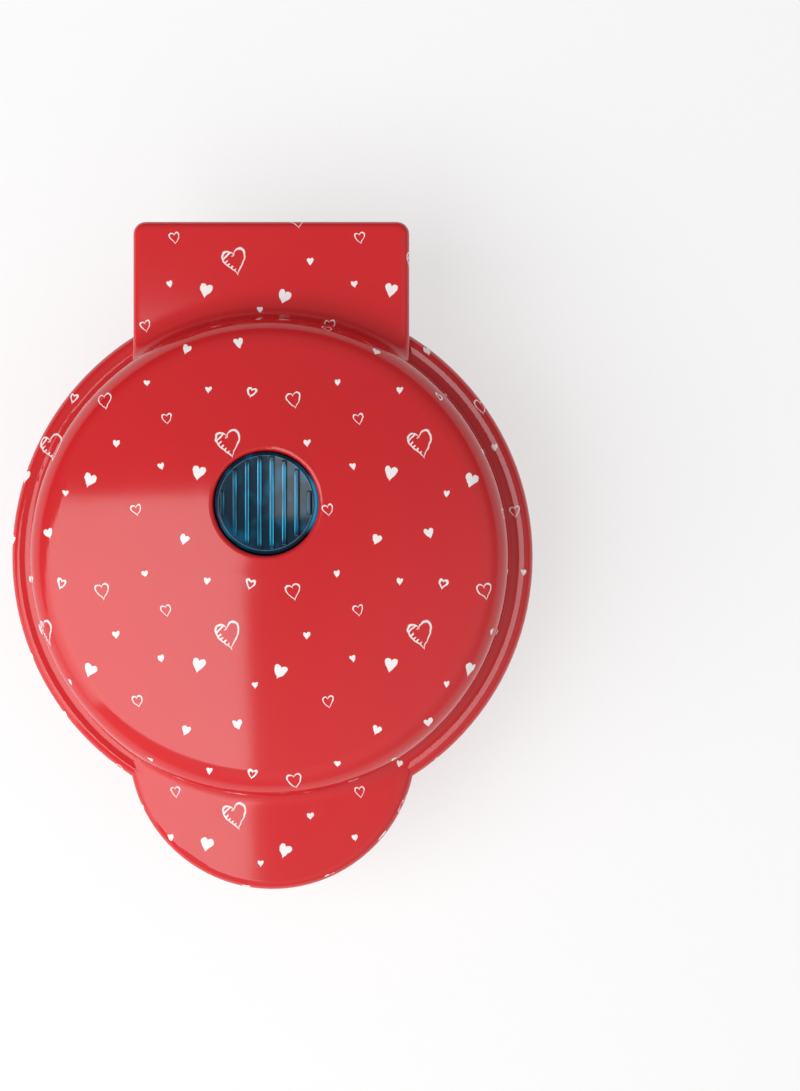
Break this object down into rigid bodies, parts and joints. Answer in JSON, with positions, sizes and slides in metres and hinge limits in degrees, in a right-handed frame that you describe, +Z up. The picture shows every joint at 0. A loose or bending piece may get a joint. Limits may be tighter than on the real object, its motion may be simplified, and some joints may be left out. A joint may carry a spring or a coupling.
{
  "type": "waffle maker",
  "caption": "Round mini waffle maker: domed clamshell on a rear hinge, grip tab in front, ribbed indicator lens on the lid and studded heart-shaped cooking plates inside.",
  "frame": {"origin": "on the table under the centre of the round body, which is also the middle of the object's length", "axes": "+Z up; the grip tab is at -Y and the hinge at +Y; X runs along the hinge axis"},
  "size_m": [0.127, 0.162, 0.0701],
  "materials": {
    "red_shell": "high gloss, printed with small white hearts on the lid",
    "red_frame": "gloss",
    "base_cover": "gloss",
    "black_rubber": "matt",
    "nonstick_plate": "dark non-stick coating",
    "element_sheath": "dull sheath",
    "bead_ceramic": "unglazed",
    "reflector_sheet": "bright sheet",
    "blue_lens": "clear blue, ribbed",
    "lamp_glass": "clear",
    "pale_plastic": "natural",
    "dark_plastic": "moulded",
    "lead_sleeve": "woven sleeve",
    "steel": "zinc plated"
  },
  "bodies": {
    "base": {"lower_housing": "red_shell", "lower_frame": "red_frame", "base_plate": "base_cover", "front_feet": "black_rubber", "back_feet": "black_rubber", "base_plate_screws": "steel", "lower_frame_screws": "steel", "lower_cooking_plate": "nonstick_plate", "lower_plate_screws": "steel", "lower_heating_element": "element_sheath", "lower_element_beads": "bead_ceramic", "lower_element_pins": "steel", "lower_reflector": "reflector_sheet", "lower_reflector_screws": "steel", "thermostat": "dark_plastic", "thermostat_screws": "steel", "thermal_fuse": "steel", "fuse_clip": "steel", "fuse_clip_screw": "steel", "terminal_block": "pale_plastic", "terminal_screws": "steel", "base_leads": "lead_sleeve", "cord_gland": "black_rubber"},
    "lid": {"upper_housing": "red_shell", "upper_frame": "red_frame", "upper_frame_screws": "steel", "upper_cooking_plate": "nonstick_plate", "upper_plate_screws": "steel", "upper_heating_element": "element_sheath", "upper_element_beads": "bead_ceramic", "upper_element_pins": "steel", "upper_reflector": "reflector_sheet", "upper_reflector_screws": "steel", "indicator_lens": "blue_lens", "lens_gasket": "black_rubber", "lens_retainer": "pale_plastic", "lens_retainer_screws": "steel", "indicator_lamp": "lamp_glass", "lid_leads": "lead_sleeve", "left_hinge_pin": "steel", "right_hinge_pin": "steel"}
  },
  "joints": [
    {"name": "lid_hinge", "type": "hinge", "parent": "base", "child": "lid", "pos_m": [0, 0.0715, 0.041], "axis": [-1, 0, 0], "range_deg": [0, 105]}
  ]
}
